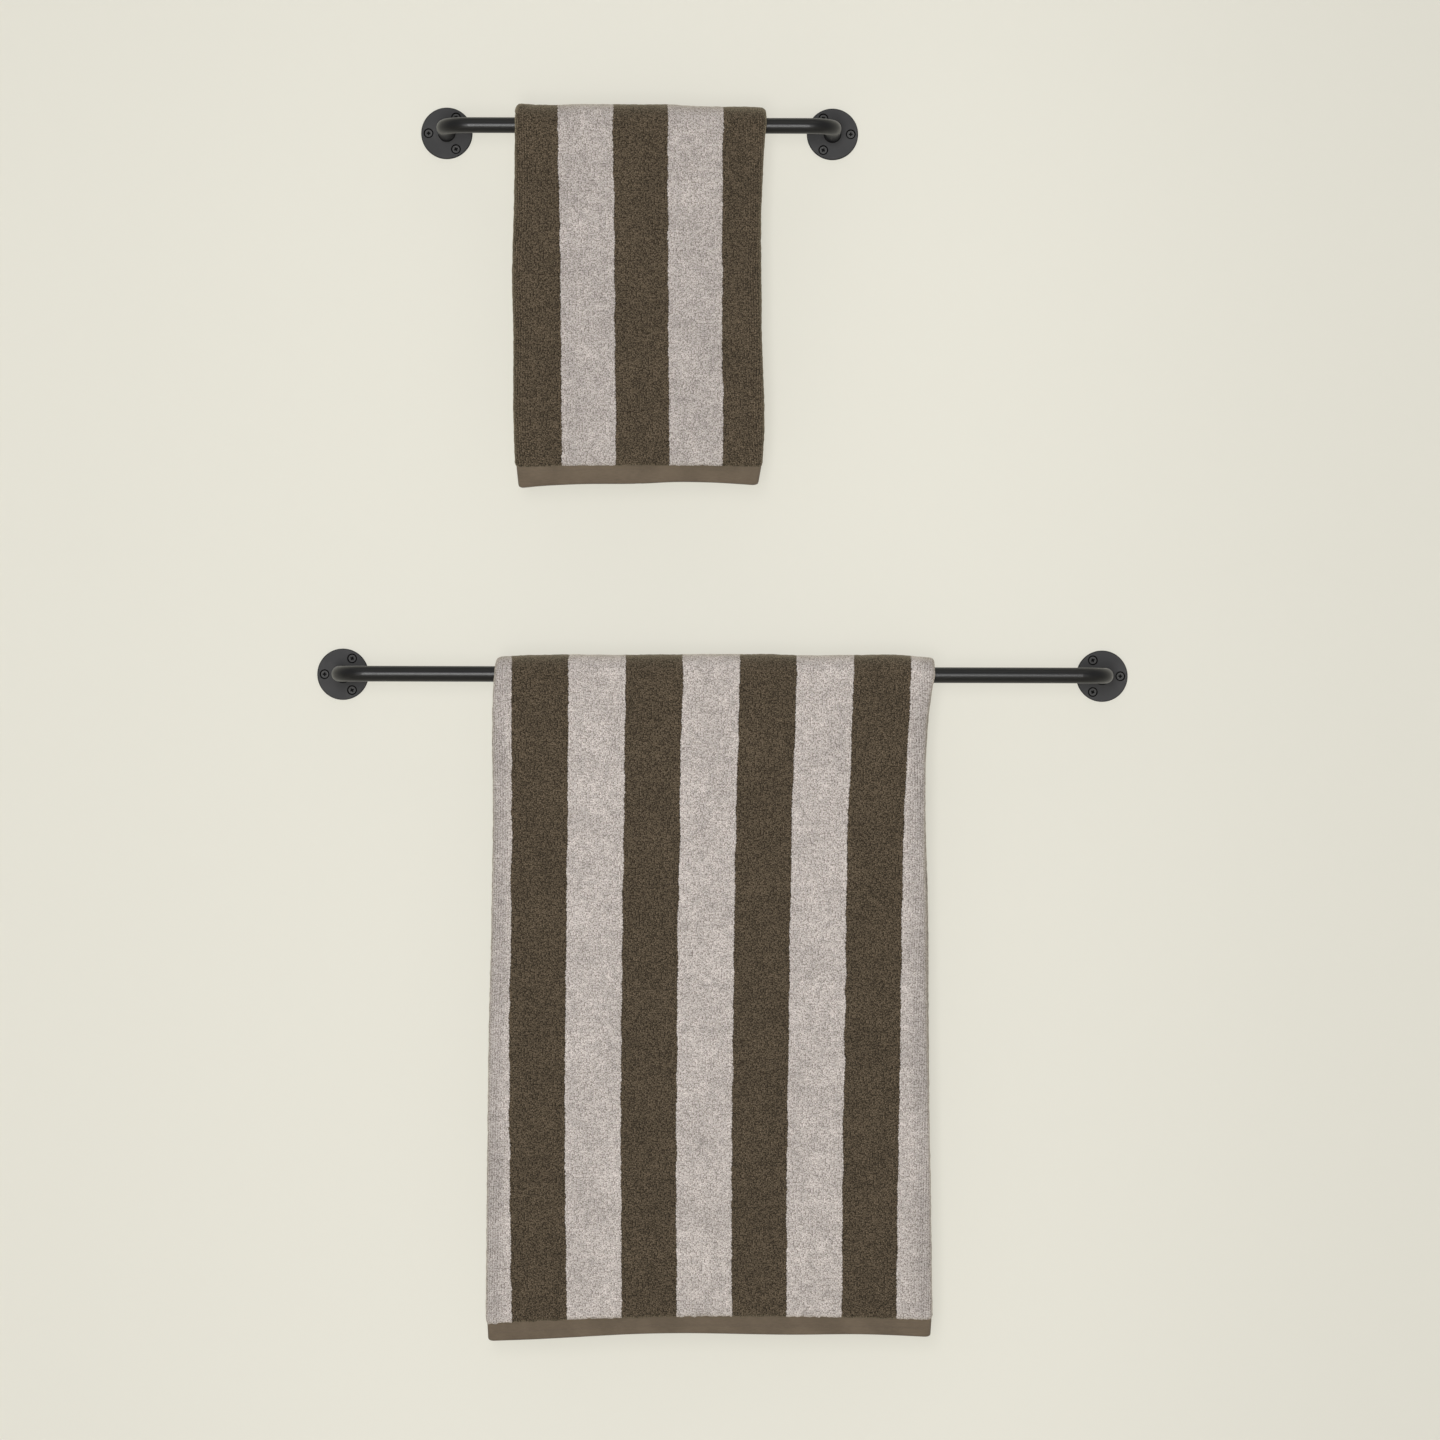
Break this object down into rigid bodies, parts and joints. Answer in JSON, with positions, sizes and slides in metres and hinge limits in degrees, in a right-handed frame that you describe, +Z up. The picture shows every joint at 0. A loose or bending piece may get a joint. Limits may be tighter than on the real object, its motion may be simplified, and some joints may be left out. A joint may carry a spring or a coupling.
{
  "type": "towel set on wall rails",
  "caption": "Striped hand towel and bath towel, each folded over its own black wall-mounted towel rail with round screwed flanges.",
  "frame": {"origin": "on the wall plane, midway between the two flanges of the bath rail", "axes": "+X right along the bars, +Y into the wall, +Z up; the set stands out from the wall towards -Y"},
  "size_m": [0.664, 0.1091, 1.0005],
  "materials": {
    "rail_black": "satin black powder coat",
    "screw_black": "black oxide, satin",
    "terry": "looped cotton terry, olive brown and warm grey stripes",
    "hem": "flat woven cotton band with a stitched hem"
  },
  "bodies": {
    "wall_rails": {"bath_rail_tube": "rail_black", "bath_rail_left_flange": "rail_black", "bath_rail_left_screws": "screw_black", "bath_rail_right_flange": "rail_black", "bath_rail_right_screws": "screw_black", "hand_rail_tube": "rail_black", "hand_rail_left_flange": "rail_black", "hand_rail_left_screws": "screw_black", "hand_rail_right_flange": "rail_black", "hand_rail_right_screws": "screw_black"},
    "bath_towel": {"bath_towel_saddle": "terry", "bath_towel_back_drop": "terry", "bath_towel_back_hem": "hem"},
    "bath_towel_front": {"bath_towel_front_drop": "terry", "bath_towel_front_hem": "hem"},
    "hand_towel": {"hand_towel_saddle": "terry", "hand_towel_back_drop": "terry", "hand_towel_back_hem": "hem"},
    "hand_towel_front": {"hand_towel_front_drop": "terry", "hand_towel_front_hem": "hem"}
  },
  "joints": [
    {"name": "bath_towel_slide", "type": "slide", "parent": "wall_rails", "child": "bath_towel", "axis": [1, 0, 0], "range_m": [-0.104, 0.12]},
    {"name": "bath_towel_front_swing", "type": "hinge", "parent": "bath_towel", "child": "bath_towel_front", "pos_m": [-0.008, -0.065, 0], "axis": [-1, 0, 0], "range_deg": [0, 30]},
    {"name": "hand_towel_slide", "type": "slide", "parent": "wall_rails", "child": "hand_towel", "axis": [1, 0, 0], "range_m": [-0.036, 0.036]},
    {"name": "hand_towel_front_swing", "type": "hinge", "parent": "hand_towel", "child": "hand_towel_front", "pos_m": [-0.069, -0.065, 0.4435], "axis": [-1, 0, 0], "range_deg": [0, 30]}
  ]
}
